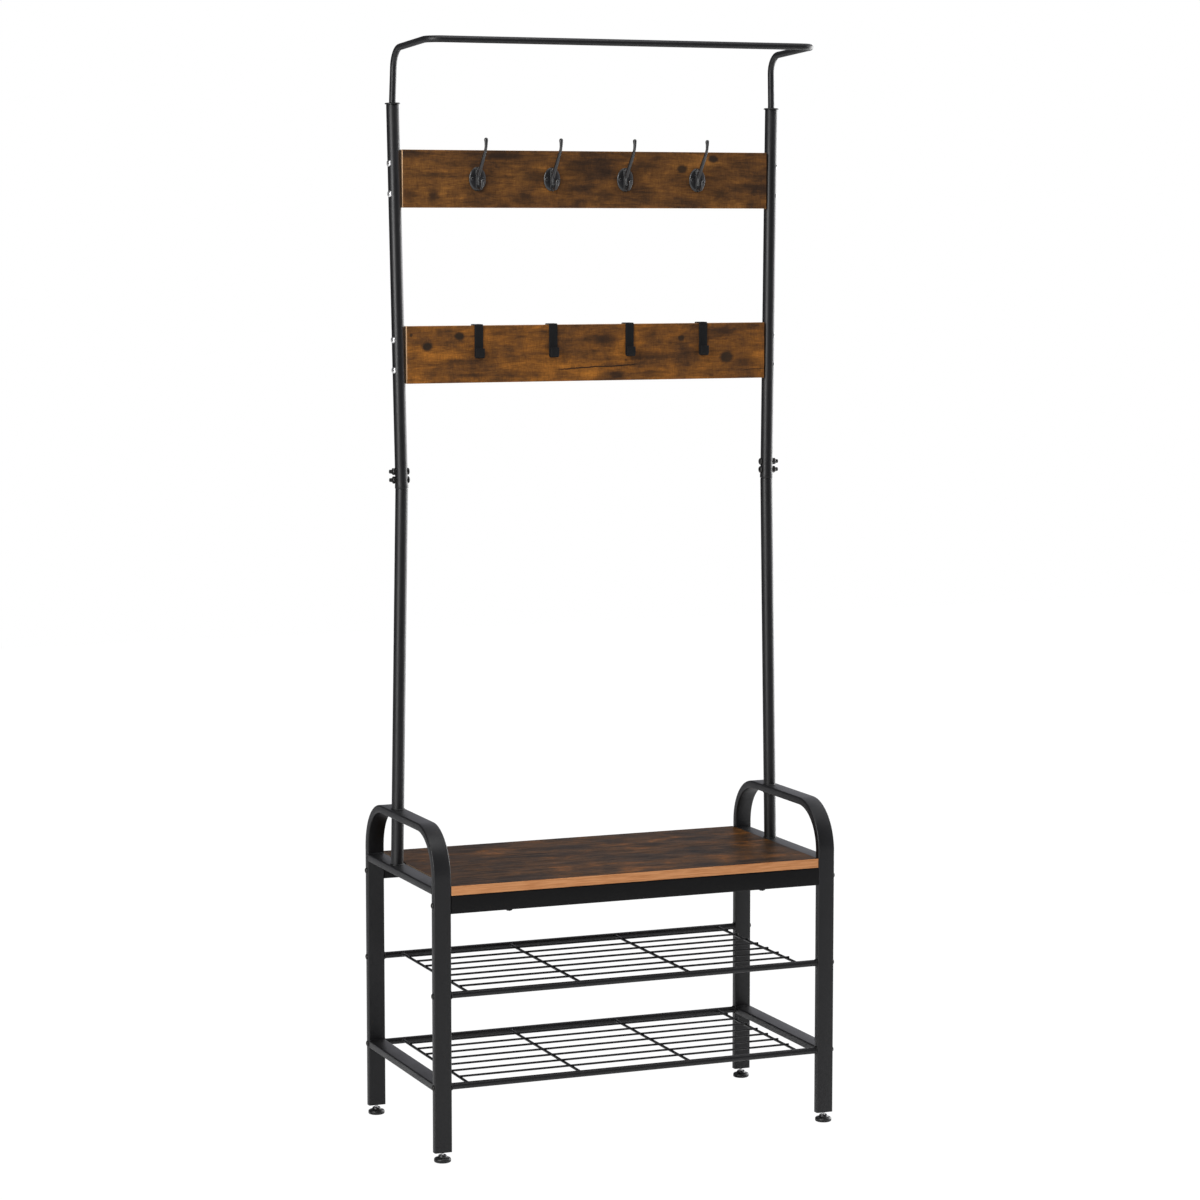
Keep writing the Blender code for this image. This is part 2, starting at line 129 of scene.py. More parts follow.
LOWER_STAINS = (
    (0.027, 1.330, 0.034, 0.013, 0.75), (0.110, 1.336, 0.018, 0.009, 0.6),
    (-0.163, 1.342, 0.024, 0.006, 0.65), (0.110, 1.301, 0.075, 0.007, 0.6),
    (0.250, 1.341, 0.036, 0.008, 0.65), (-0.240, 1.294, 0.030, 0.005, 0.6),
    (-0.207, 1.272, 0.022, 0.006, 0.65), (-0.150, 1.273, 0.022, 0.007, 0.55),
    (0.110, 1.272, 0.022, 0.007, 0.6), (0.290, 1.290, 0.030, 0.010, 0.55),
    (0.050, 1.268, 0.014, 0.008, 0.8),
)
LOWER_KNOTS = (
    (-0.290, 1.321, 0.0105, 0.0078, 0.97), (-0.233, 1.3377, 0.0092, 0.0066, 0.95),
    (-0.318, 1.3405, 0.0033, 0.0028, 0.8), (0.1695, 1.330, 0.0058, 0.0054, 0.85),
    (0.2537, 1.297, 0.0125, 0.0115, 0.9), (0.067, 1.294, 0.0017, 0.0015, 0.95),
)
LOWER_CRACKS = (
    (-0.066, 0.100, 1.2798, 1.2868, 0.0008, 0.97), (0.283, 0.330, 1.2742, 1.2758, 0.0005, 0.8),
)
SEAT_TONES = (
    (0.36, 34, 26, 21), (0.45, 55, 39, 26), (0.54, 80, 53, 28), (0.64, 130, 80, 34),
)
SEAT_STAINS = (
    (-0.020, 0.090, 0.05, 0.020, 0.75), (-0.030, 0.020, 0.06, 0.030, 0.65),
    (-0.230, 0.060, 0.05, 0.040, 0.5), (0.120, 0.060, 0.03, 0.020, 0.65),
    (0.130, -0.150, 0.030, 0.014, 0.75), (-0.210, -0.145, 0.05, 0.016, 0.65),
)
SEAT_KNOTS = (
    (0.270, 0.010, 0.014, 0.010, 0.8), (0.170, 0.0, 0.012, 0.010, 0.75),
    (0.265, 0.152, 0.012, 0.008, 0.65),
)
SEAT_CRACKS = (
    (-0.180, -0.05, -0.06, -0.055, 0.0006, 0.5),
)

# Small screws
JOINT_HEAD_RADIUS, JOINT_HEAD_TALL = 0.0059, 0.0036
BOARD_HEAD_RADIUS, BOARD_HEAD_TALL = 0.0055, 0.0034
BOARD_HEAD_SINK = 0.0014
LEG_HEAD_RADIUS, LEG_HEAD_TALL = 0.0048, 0.0026
SEAT_HEAD_RADIUS, SEAT_HEAD_TALL = 0.0055, 0.0026
HOOK_HEAD_RADIUS, HOOK_HEAD_TALL = 0.0031, 0.0014

SHARP_ANGLE = math.radians(35)
WELD_POINT_STEP = 0.0012

SIDES = {"left": -1, "right": 1}
ENDS = {"front": -1, "back": 1}


# Shapes


def mesh_of(name, bm):
    bmesh.ops.recalc_face_normals(bm, faces=bm.faces)
    mesh = bpy.data.meshes.new(name)
    bm.to_mesh(mesh)
    bm.free()
    mesh.shade_smooth()
    mesh.set_sharp_from_angle(angle=SHARP_ANGLE)
    return mesh


def piece(name, mesh, material, body="root", replaced=(), place=None):
    """An object with this mesh that rides on a body of the frame."""
    if material.name not in mesh.materials:
        mesh.materials.append(material)
    obj = bpy.data.objects.new(name, mesh)
    bpy.context.scene.collection.objects.link(obj)
    if place:
        obj.matrix_world = place
    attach(obj, body)
    if replaced:
        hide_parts(*replaced)
    return obj


def circle(radius, sides):
    turns = [2 * math.pi * (i + 0.5) / sides for i in range(sides)]
    return [(radius * math.cos(a), radius * math.sin(a)) for a in turns]


def rounded_rectangle(wide, tall, corner, steps=6):
    points = []
    for quarter, (sx, sy) in enumerate(((1, 1), (-1, 1), (-1, -1), (1, -1))):
        for i in range(steps):
            a = math.pi / 2 * (quarter + i / (steps - 1))
            x = sx * (wide / 2 - corner) + corner * math.cos(a)
            y = sy * (tall / 2 - corner) + corner * math.sin(a)
            points.append((x, y))
    return points


def arc(centre, start, end, steps):
    """Points of the quarter turn about centre from centre + start to centre + end."""
    turns = [math.pi / 2 * i / steps for i in range(steps + 1)]
    return [centre + start * math.cos(a) + end * math.sin(a) for a in turns]


def sweep(bm, path, section, side, bore=None, sizes=None):
    """Carries a section along the path and caps its ends. A bore section makes it a tube."""
    steps = [(b - a).normalized() for a, b in zip(path, path[1:])]
    tangents = [steps[0]]
    tangents += [(a + b).normalized() for a, b in zip(steps, steps[1:])]
    tangents.append(steps[-1])
    sizes = sizes or [1] * len(path)
    rings = []
    bores = []
    u = Vector(side)
    for point, t, size in zip(path, tangents, sizes):
        u = (u - t * u.dot(t)).normalized()
        v = t.cross(u)
        rings.append([bm.verts.new(point + (u * x + v * y) * size) for x, y in section])
        if bore:
            bores.append([bm.verts.new(point + u * x + v * y) for x, y in bore])
    count = len(section)
    for skin in (rings, bores):
        for a, b in zip(skin, skin[1:]):
            for i in range(count):
                j = (i + 1) % count
                bm.faces.new((a[i], a[j], b[j], b[i]))
    for end in (0, -1):
        if not bore:
            bm.faces.new(rings[end])
            continue
        for i in range(count):
            j = (i + 1) % count
            bm.faces.new((rings[end][i], rings[end][j], bores[end][j], bores[end][i]))


def swept_mesh(name, path, section, side, bore=None, sizes=None):
    bm = bmesh.new()
    sweep(bm, path, section, side, bore, sizes)
    return mesh_of(name, bm)


def turned(bm, profile, sides, place=None):
    """Turns (radius, height) points about Z into the bmesh, then places them."""
    rings = []
    for r, z in profile:
        if r < 1e-7:
            rings.append([bm.verts.new((0, 0, z))])
        else:
            rings.append([bm.verts.new((x, y, z)) for x, y in circle(r, sides)])
    for a, b in zip(rings, rings[1:]):
        for i in range(sides):
            j = (i + 1) % sides
            corners = [a[i % len(a)], a[j % len(a)], b[j % len(b)], b[i % len(b)]]
            bm.faces.new(list(dict.fromkeys(corners)))
    if place:
        bmesh.ops.transform(bm, matrix=place, verts=[v for ring in rings for v in ring])


def turned_mesh(name, profile, sides):
    bm = bmesh.new()
    turned(bm, profile, sides)
    return mesh_of(name, bm)


def smooth_path(points, steps):
    """A smooth curve through the points."""
    ends = [points[0] * 2 - points[1], *points, points[-1] * 2 - points[-2]]
    path = []
    for a, b, c, d in zip(ends, ends[1:], ends[2:], ends[3:]):
        for i in range(steps):
            t = i / steps
            bend = (2 * a - 5 * b + 4 * c - d) * t * t + (3 * b - a - 3 * c + d) * t**3
            path.append((2 * b + (c - a) * t + bend) / 2)
    return path + [points[-1]]


def mirrored(point, sign):
    return Vector((sign * point.x, point.y, point.z))


def post_axis(level, sign):
    """The point of a post's centre line at this height."""
    low, high = (POST_FOOT, POST_JOINT) if level < POST_JOINT.z else (POST_JOINT, POST_TOP)
    return mirrored(low.lerp(high, (level - low.z) / (high.z - low.z)), sign)


def facing(place, direction):
    """A matrix that moves the origin to place and turns +Z to the direction."""
    turn = Vector(direction).to_track_quat("Z", "Y").to_matrix().to_4x4()
    return Matrix.Translation(place) @ turn


# Materials


def tone(red, green, blue):
    """A colour of the shader from the red, green and blue of a screen, 0 to 255."""
    levels = [c / 255 for c in (red, green, blue)]
    linear = [c / 12.92 if c < 0.04045 else ((c + 0.055) / 1.055) ** 2.4 for c in levels]
    return (*linear, 1)


class Shader:
    """A material with short forms for its nodes."""

    def __init__(self, name):
        self.material = bpy.data.materials.new(name)
        self.material.use_nodes = True
        self.tree = self.material.node_tree
        self.surface = self.tree.nodes["Principled BSDF"]
        coordinates = self.add("ShaderNodeTexCoord")
        self.where = coordinates.outputs["Object"]
        self.normal = coordinates.outputs["Normal"]

    def add(self, kind, **settings):
        node = self.tree.nodes.new(kind)
        for key, value in settings.items():
            setattr(node, key, value)
        return node

    def feed(self, socket, value):
        if isinstance(value, bpy.types.NodeSocket):
            self.tree.links.new(value, socket)
        else:
            socket.default_value = value

    def set(self, **values):
        for key, value in values.items():
            self.feed(self.surface.inputs[key.replace("_", " ")], value)

    def math(self, operation, a, b=0.0):
        node = self.add("ShaderNodeMath", operation=operation)
        self.feed(node.inputs[0], a)
        self.feed(node.inputs[1], b)
        return node.outputs[0]

    def vector(self, operation, a, b):
        node = self.add("ShaderNodeVectorMath", operation=operation)
        self.feed(node.inputs[0], a)
        self.feed(node.inputs[1], b)
        return node.outputs["Value"] if operation in ("LENGTH", "DOT_PRODUCT") else node.outputs[0]

    def scaled(self, vector, scale, shift=(0, 0, 0)):
        node = self.add("ShaderNodeMapping")
        self.feed(node.inputs["Vector"], vector)
        node.inputs["Scale"].default_value = scale
        node.inputs["Location"].default_value = shift
        return node.outputs[0]

    def noise(self, vector, scale, detail=2.0, roughness=0.5, distortion=0.0, colour=False):
        node = self.add("ShaderNodeTexNoise")
        self.feed(node.inputs["Vector"], vector)
        node.inputs["Scale"].default_value = scale
        node.inputs["Detail"].default_value = detail
        node.inputs["Roughness"].default_value = roughness
        node.inputs["Distortion"].default_value = distortion
        return node.outputs["Color" if colour else "Fac"]

    def between(self, value, low, high, first=0.0, last=1.0):
        """A smooth step: first up to low, and last from high."""
        node = self.add("ShaderNodeMapRange", interpolation_type="SMOOTHSTEP")
        sockets = ("Value", "From Min", "From Max", "To Min", "To Max")
        for socket, number in zip(sockets, (value, low, high, first, last)):
            self.feed(node.inputs[socket], number)
        return node.outputs[0]

    def ramp(self, value, stops):
        node = self.add("ShaderNodeValToRGB")
        self.feed(node.inputs[0], value)
        elements = node.color_ramp.elements
        elements[0].position, elements[0].color = stops[0]
        elements[1].position, elements[1].color = stops[-1]
        for position, colour in stops[1:-1]:
            elements.new(position).color = colour
        return node.outputs[0]

    def mix(self, amount, a, b, blend="MIX"):
        node = self.add("ShaderNodeMix", data_type="RGBA", blend_type=blend)
        self.feed(node.inputs[0], amount)
        self.feed(node.inputs[6], a)
        self.feed(node.inputs[7], b)
        return node.outputs[2]

    def bump(self, height, strength, distance):
        node = self.add("ShaderNodeBump")
        self.feed(node.inputs["Height"], height)
        node.inputs["Strength"].default_value = strength
        node.inputs["Distance"].default_value = distance
        self.set(Normal=node.outputs[0])


def coated(name, dark, light, roughness, peel, depth, cloud=9.0, gloss=0.5):
    """Powder coat, plastic or lacquer: a dark coat with a fine skin and slow changes of tone."""
    s = Shader(name)
    slow = s.noise(s.where, cloud, 4.0, 0.6)
    fine = s.noise(s.where, peel, 3.0, 0.6)
    tones = s.math("ADD", s.math("MULTIPLY", slow, 0.7), s.math("MULTIPLY", fine, 0.3))
    s.set(Base_Color=s.ramp(tones, [(0.3, dark), (0.7, light)]))
    wear = s.math("ADD", s.math("MULTIPLY", slow, 0.5), s.math("MULTIPLY", fine, 0.5))
    s.set(Roughness=s.between(wear, 0.3, 0.7, roughness - 0.06, roughness + 0.07), Specular_IOR_Level=gloss)
    s.bump(fine, depth, 0.0002)
    return s.material


def plated(name, dark, light, roughness):
    """Zinc plate: bright metal, clouded, with fine turning marks."""
    s = Shader(name)
    slow = s.noise(s.where, 160.0, 4.0, 0.7)
    fine = s.noise(s.scaled(s.where, (1, 1, 9)), 700.0, 3.0, 0.6)
    s.set(Base_Color=s.ramp(slow, [(0.3, dark), (0.7, light)]), Metallic=1.0)
    s.set(Roughness=s.between(fine, 0.3, 0.7, roughness - 0.08, roughness + 0.1))
    s.bump(fine, 0.12, 0.0001)
    return s.material


def rustic(name, across, palette, band, ends, stains, knots, cracks, shift, gloss):
    """A printed board of old brown wood. Across is the axis across the grain, which runs along X."""
    s = Shader(name)

    def stretch(along, over):
        return (along, 1, over) if across == "Z" else (along, over, 1)

    blend = s.noise(s.scaled(s.where, stretch(1.0, 1.7), shift), 9.0, 6.0, 0.62, 0.6)
    patch = s.noise(s.scaled(s.where, stretch(1.0, 1.4), shift[::-1]), 26.0, 6.0, 0.68, 0.5)
    streak = s.noise(s.scaled(s.where, stretch(1, 9), shift), 14.0, 6.0, 0.7, 0.5)
    fibre = s.noise(s.scaled(s.where, stretch(1, 16), shift), 70.0, 4.0, 0.75, 0.3)
    weave = s.noise(s.scaled(s.where, stretch(12, 1.2), shift), 80.0, 4.0, 0.7)
    tones = s.math("ADD", s.math("MULTIPLY", blend, 0.52), s.math("MULTIPLY", patch, 0.30))
    tones = s.math("ADD", tones, s.math("MULTIPLY", streak, 0.18))
    colour = s.ramp(tones, [(place, tone(*colour)) for place, *colour in palette])
    for value, low, high in ((streak, 0.68, 1.20), (fibre, 0.58, 1.40), (weave, 0.72, 1.26)):
        shade = (low, low, low * 0.98, 1)
        shine = (high, high * 0.98, high * 0.92, 1)
        stops = [(0.32, shade), (0.5, (1, 1, 1, 1)), (0.7, shine)]
        colour = s.mix(1.0, colour, s.ramp(value, stops), "MULTIPLY")
    drift = s.vector("SUBTRACT", s.noise(s.where, 55.0, 5.0, 0.7, colour=True), (0.5, 0.5, 0.5))
    drift = s.vector("MULTIPLY", drift, stretch(0.026, 0.018))
    warped = s.vector("ADD", s.where, drift)
    bent = s.vector("ADD", s.where, s.vector("MULTIPLY", drift, (0.3, 0.3, 0.3)))
    flat = (1, 0, 1) if across == "Z" else (1, 1, 0)

    def blots(spots, soft, warped):
        total = 0.0
        for x, over, half_long, half_tall, strength in spots:
            centre = (x, 0, over) if across == "Z" else (x, over, 0)
            sizes = stretch(1 / half_long, 1 / half_tall)
            scale = tuple(a * b for a, b in zip(sizes, flat))
            away = s.vector("MULTIPLY", s.vector("SUBTRACT", warped, centre), scale)
            mask = s.between(s.vector("LENGTH", away, (0, 0, 0)), soft, 1.3, strength, 0.0)
            total = s.math("MAXIMUM", mask, total)
        return total

    if stains:
        colour = s.mix(blots(stains, 0.15, warped), colour, tone(40, 29, 22))
    if knots:
        colour = s.mix(blots(knots, 0.6, bent), colour, tone(38, 31, 24))
    parts = s.add("ShaderNodeSeparateXYZ")
    s.feed(parts.inputs[0], s.where)
    x, over = parts.outputs["X"], parts.outputs[across]
    sway = s.noise(s.scaled(s.where, stretch(1, 0.2)), 42.0, 4.0, 0.7)
    wander = s.math("MULTIPLY", s.math("SUBTRACT", sway, 0.5), 0.006)
    opened = 0.0
    for first, last, start, end, half, strength in cracks:
        slope = (end - start) / (last - first)
        line = s.math("ADD", s.math("MULTIPLY", x, slope), start - slope * first)
        gap = s.math("ABSOLUTE", s.math("SUBTRACT", s.math("ADD", over, wander), line))
        mask = s.between(gap, half * 0.6, half * 2.0, strength, 0.0)
        reach = (last - first) / 2
        off = s.math("ABSOLUTE", s.math("SUBTRACT", x, (first + last) / 2))
        mask = s.math("MULTIPLY", mask, s.between(off, reach * 0.7, reach, 1.0, 0.0))
        opened = s.math("MAXIMUM", mask, opened)
    if cracks:
        colour = s.mix(opened, colour, tone(30, 22, 16))
    band_grain = s.noise(s.scaled(s.where, (3, 60, 60)), 9.0, 4.0, 0.6)
    band = s.ramp(band_grain, [(0.32, band[0]), (0.6, band[1])])
    # On the seat the end colours are painted shade, darker for the shadow on its ends; the boards' ends
    # take their pale band.
    cut = s.ramp(band_grain, [(0.32, ends[0]), (0.6, ends[1])])
    sides = s.add("ShaderNodeSeparateXYZ")
    s.feed(sides.inputs[0], s.normal)
    face = s.math("ABSOLUTE", sides.outputs["Y" if across == "Z" else "Z"])
    is_face = s.between(face, 0.45, 0.6)
    is_end = s.between(s.math("ABSOLUTE", sides.outputs["X"]), 0.6, 0.8)
    band = s.mix(is_end, band, cut)
    s.set(Base_Color=s.mix(is_face, band, colour))
    s.set(Roughness=s.between(streak, 0.3, 0.7, 0.5, 0.4), Specular_IOR_Level=gloss)
    relief = s.math("ADD", s.math("MULTIPLY", fibre, 0.6), s.math("MULTIPLY", streak, 0.4))
    if cracks:
        relief = s.math("SUBTRACT", relief, s.math("MULTIPLY", opened, 1.5))
    s.bump(relief, 0.3, 0.0003)
    return s.material


# Pieces


def paint(node, material):
    """Gives a CAD node this material in place of its own."""
    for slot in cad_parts[node].material_slots:
        slot.material = material


def make_rectangular_tubes(steel, painted_shade_coat):
    """Straight tubes of the frame, each where its CAD node is, with round corners and open ends."""
    names = [f"{level}_side_rail_{side}" for level in ("seat", "lower") for side in SIDES]
    names += [f"seat_rail_{end}" for end in ENDS]
    for name in names:
        low, high = (Vector(c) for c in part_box(name))
        middle, size = (low + high) / 2, high - low
        along = max(range(3), key=lambda i: size[i])
        wide = 1 if along == 0 else 0
        reach = Vector([size[i] / 2 if i == along else 0 for i in range(3)])
        side = Vector([1.0 if i == wide else 0 for i in range(3)])
        section = rounded_rectangle(size[wide], size.z, TUBE_CORNER)
        hollow_wide, hollow_tall = size[wide] - 2 * TUBE_WALL, size.z - 2 * TUBE_WALL
        bore = rounded_rectangle(hollow_wide, hollow_tall, TUBE_CORNER - TUBE_WALL)
        mesh = swept_mesh(name, [middle - reach, middle + reach], section, side, bore)
        # Painted shade: the seat rails take the darker copy of the coat, for the shadow under the seat.
        coat = painted_shade_coat if name.startswith("seat_rail") else steel
        piece(f"{name}_tube", mesh, coat, replaced=[name])


def make_side_frames(steel):
    section = rounded_rectangle(TUBE_WIDE, TUBE_THICK, TUBE_CORNER)
    wall = 2 * TUBE_WALL
    bore = rounded_rectangle(TUBE_WIDE - wall, TUBE_THICK - wall, TUBE_CORNER - TUBE_WALL)
    for side, sign in SIDES.items():
        low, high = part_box(f"side_frame_{side}")
        x = sign * LEG_X
        bend_z = high[2] - TUBE_THICK / 2 - ARCH_BEND
        bend_y = LEG_Y - ARCH_BEND
        forward, up = Vector((0, -ARCH_BEND, 0)), Vector((0, 0, ARCH_BEND))
        path = [Vector((x, -LEG_Y, low[2]))]
        path += arc(Vector((x, -bend_y, bend_z)), forward, up, 28)
        path += arc(Vector((x, bend_y, bend_z)), up, -forward, 28)
        path.append(Vector((x, LEG_Y, low[2])))
        mesh = swept_mesh("side_frame", path, section, (1, 0, 0), bore)
        piece(f"side_frame_{side}_tube", mesh, steel, replaced=[f"side_frame_{side}"])


def bead(bm, loop, radius, seed, sides=8):
    """A weld bead along a closed loop of points, a little uneven as a weld is."""
    count = len(loop)
    rings = []
    for i, point in enumerate(loop):
        t = (loop[(i + 1) % count] - loop[i - 1]).normalized()
        u = t.orthogonal().normalized()
        v = t.cross(u)
        ripple = 1 + 0.16 * math.sin(i * 1.9 + seed)
        ripple += 0.25 * noise.noise(point * 300 + Vector((seed, 0, 0)))
        rings.append([bm.verts.new(point + (u * x + v * y) * ripple) for x, y in circle(radius, sides)])
    for i in range(count):
        a, b = rings[i], rings[(i + 1) % count]
        shift = min(range(sides), key=lambda k: (a[0].co - b[k].co).length)
        for j in range(sides):
            onward = (j + 1) % sides
            bm.faces.new((a[j], a[onward], b[(onward + shift) % sides], b[(j + shift) % sides]))


def make_welds(steel):
    """The beads where a post meets its arch and its rail, and where the side rails meet the legs."""
    for side, sign in SIDES.items():
        bm = bmesh.new()
        arch_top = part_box(f"side_frame_{side}")[1][2]
        for number, level in enumerate((arch_top, arch_top - TUBE_THICK, POST_FOOT.z)):
            centre = post_axis(level, sign)
            loop = [centre + Vector((x, y, 0)) for x, y in circle(POST_DIA / 2 + 0.0003, 56)]
            bead(bm, loop, 0.0012, number + sign)
        for name in ("seat", "lower"):
            low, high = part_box(f"{name}_side_rail_{side}")
            for end in (low, high):
                wide, tall = high[0] - low[0] - 0.001, high[2] - low[2] - 0.0002
                outline = spread(rounded_rectangle(wide, tall, 0.003, 5))
                middle = Vector((sign * LEG_X, end[1], (low[2] + high[2]) / 2))
                loop = [middle + Vector((x, 0, z)) for x, z in outline]
                bead(bm, loop, 0.0008, end[1] * 40)
        piece(f"weld_beads_{side}", mesh_of("weld_beads", bm), steel)


def spread(outline):
    """The outline with points added so that none are far apart."""
    points = []
    for a, b in zip(outline, outline[1:] + outline[:1]):
        a, b = Vector(a), Vector(b)
        parts = max(1, round((b - a).length / WELD_POINT_STEP))
        points += [tuple(a.lerp(b, i / parts)) for i in range(parts)]
    return points


def make_shelves(steel):
    for level in ("mid", "low"):
        for end in ENDS:
            name = f"{level}_shelf_rail_{end}"
            low, high = (Vector(c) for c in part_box(name))
            middle, radius = (low + high) / 2, (high.z - low.z) / 2
            reach = Vector(((high.x - low.x) / 2, 0, 0))
            bm = bmesh.new()
            path = [middle - reach, middle + reach]
            sweep(bm, path, circle(radius, 32), (0, 1, 0), circle(radius - 0.001, 32))
            for turn in (-1, 1):
                profile = [(radius - 0.001, 0), (radius + 0.0011, 0), (radius + 0.0013, 0.0003)]
                profile += [(radius + 0.0011, 0.0013), (radius - 0.0005, 0.0022)]
                turned(bm, profile, 32, facing(middle + reach * turn, (-turn, 0, 0)))
            piece(f"{name}_tube", mesh_of(name, bm), steel, replaced=[name])
        low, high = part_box(f"{level}_shelf_grid")
        cross_z = low[2] + CROSS_WIRE_DIA / 2
        long_z = cross_z + (CROSS_WIRE_DIA + LONG_WIRE_DIA) / 2 - WIRE_SINK
        bm = bmesh.new()
        for x in CROSS_WIRE_X:
            ends = Vector((x, low[1], cross_z)), Vector((x, high[1], cross_z))
            wire(bm, *ends, CROSS_WIRE_DIA / 2 + WIRE_EXTRA)
            for y in (low[1] + 0.0006, high[1] - 0.0006):
                nub(bm, Vector((x, y, cross_z)), (0.0032, 0.0016, 0.0027))
        reach = CROSS_WIRE_X[-1] + LONG_WIRE_PAST
        for i in range(LONG_WIRES):
            y = (i - (LONG_WIRES - 1) / 2) * LONG_WIRE_PITCH
            ends = Vector((-reach, y, long_z)), Vector((reach, y, long_z))
            wire(bm, *ends, LONG_WIRE_DIA / 2 + WIRE_EXTRA)
            for x in CROSS_WIRE_X:
                nub(bm, Vector((x, y, (cross_z + long_z) / 2)), (0.0026, 0.0023, 0.0011))
        name = f"{level}_shelf_grid"
        piece(f"{name}_wires", mesh_of(name, bm), steel, replaced=[name])


def wire(bm, start, end, radius):
    """A drawn wire with its cut ends slightly rounded."""
    along = (end - start).normalized()
    ease = radius * 0.35
    path = [start, start + along * ease, start.lerp(end, 0.5), end - along * ease, end]
    side = along.orthogonal()
    sweep(bm, path, circle(radius, 16), side, sizes=[0.7, 1, 1, 1, 0.7])


def nub(bm, place, sizes):
    """A flattened drop of weld metal."""
    profile = [(math.cos(math.pi / 2 * t / 4), math.sin(math.pi / 2 * t / 4)) for t in range(-4, 5)]
    profile[0], profile[-1] = (0, -1), (0, 1)
    turned(bm, profile, 12, Matrix.Translation(place) @ Matrix.Diagonal((*sizes, 1)))


def make_posts(steel):
    radius, bore = POST_DIA / 2, circle(POST_DIA / 2 - POST_WALL, 40)
    for side, sign in SIDES.items():
        foot, joint, top = (mirrored(p, sign) for p in (POST_FOOT, POST_JOINT, POST_TOP))
        path = [foot, joint.lerp(foot, 0.0015), joint]
        mesh = swept_mesh("lower_post", path, circle(radius, 40), (0, 1, 0), bore, [1, 1, 0.975])
        piece(f"lower_post_{side}_tube", mesh, steel, replaced=[f"lower_post_{side}"])
        start = post_axis(POST_JOINT.z + JOINT_GAP, sign)
        along = (top - start).normalized()
        path = [start + along * d for d in (0, 0.0006, 0.004, 0.008, 0.012)]
        path += [top - along * 0.0006, top]
        bell = 1 + POST_BELL / radius
        sizes = [bell - 0.02, bell, bell, 1 + (bell - 1) * 0.4, 1, 1, 0.97]
        mesh = swept_mesh("upper_post", path, circle(radius, 40), (0, 1, 0), bore, sizes)
        piece(f"upper_post_{side}_tube", mesh, steel, replaced=[f"upper_post_{side}"])


def make_hanging_rail(steel, plastic):
    leaning = (POST_TOP - POST_JOINT).normalized()
    straight_end = POST_TOP + leaning * RAIL_STRAIGHT
    shoulder = Vector((*RAIL_SHOULDER, RAIL_TOP - RAIL_RISE - RAIL_BEND))
    rising = (shoulder - straight_end).normalized()
    forward = Vector((0, RAIL_FRONT - shoulder.y, RAIL_RISE)).normalized()
    path = [POST_TOP - leaning * (COLLAR_REACH - 0.004)]
    path += [straight_end - leaning * 0.002, straight_end + rising * 0.002]
    path += arc(shoulder + forward * RAIL_BEND, -forward * RAIL_BEND, rising * RAIL_BEND, 20)
    corner = Vector((path[-1].x - RAIL_CORNER, RAIL_FRONT + RAIL_CORNER, RAIL_TOP))
    path += arc(corner, Vector((RAIL_CORNER, 0, 0)), Vector((0, -RAIL_CORNER, 0)), 20)
    path += [mirrored(p, -1) for p in reversed(path)]
    mesh = swept_mesh("hanging_rail", path, circle(RAIL_DIA / 2, 32), (1, 0, 0))
    piece("hanging_rail_tube", mesh, steel, replaced=["hanging_rail"])
    bore = RAIL_DIA / 2 + GAP
    wide = COLLAR_DIA / 2
    plug = POST_DIA / 2 - POST_WALL - GAP
    profile = [(bore, -COLLAR_REACH), (plug - 0.0006, -COLLAR_REACH), (plug, -COLLAR_REACH + 0.0008)]
    profile += [(plug, GAP), (wide - 0.0004, GAP), (wide, GAP + 0.0004), (wide, GAP + 0.0012)]
    profile += [(wide - 0.0005, GAP + 0.0019), (wide - 0.0016, GAP + 0.0023)]
    profile += [(bore + 0.0014, GAP + 0.0026), (bore + 0.0006, GAP + 0.0025)]
    profile += [(bore, GAP + 0.0020), (bore, -COLLAR_REACH)]
    mesh = turned_mesh("post_collar", profile, 48)
    for side, sign in SIDES.items():
        place = facing(mirrored(POST_TOP, sign), mirrored(leaning, sign))
        node = f"post_collar_{side}"
        piece(f"{node}_ring", mesh, plastic, replaced=[node], place=place)


def thread_profile(radius, start, end, pitch):
    """The outline of a thread from start to end, drawn as even ridges."""
    root = radius - pitch * 0.42
    points = []
    z = start
    while z + pitch < end:
        points += [(root, z + pitch * 0.1), (radius, z + pitch * 0.42)]
        points += [(radius, z + pitch * 0.58), (root, z + pitch * 0.9)]
        z += pitch
    return points


def hex_ring(bm, radius, low, high, place):
    """A six-sided nut with its corners turned down, round a thread."""
    angles = [math.pi / 3 * i for i in range(6)]
    corners = [Vector((radius * math.cos(a), radius * math.sin(a), 0)) for a in angles]
    rings = []
    for z, size in ((low, 0.93), (low + 0.0005, 1), (high - 0.0005, 1), (high, 0.93)):
        rings.append([bm.verts.new(corner * size + Vector((0, 0, z))) for corner in corners])
    for a, b in zip(rings, rings[1:]):
        for i in range(6):
            j = (i + 1) % 6
            bm.faces.new((a[i], a[j], b[j], b[i]))
    bm.faces.new(rings[0])
    bm.faces.new(rings[-1])
    bmesh.ops.transform(bm, matrix=place, verts=[v for ring in rings for v in ring])


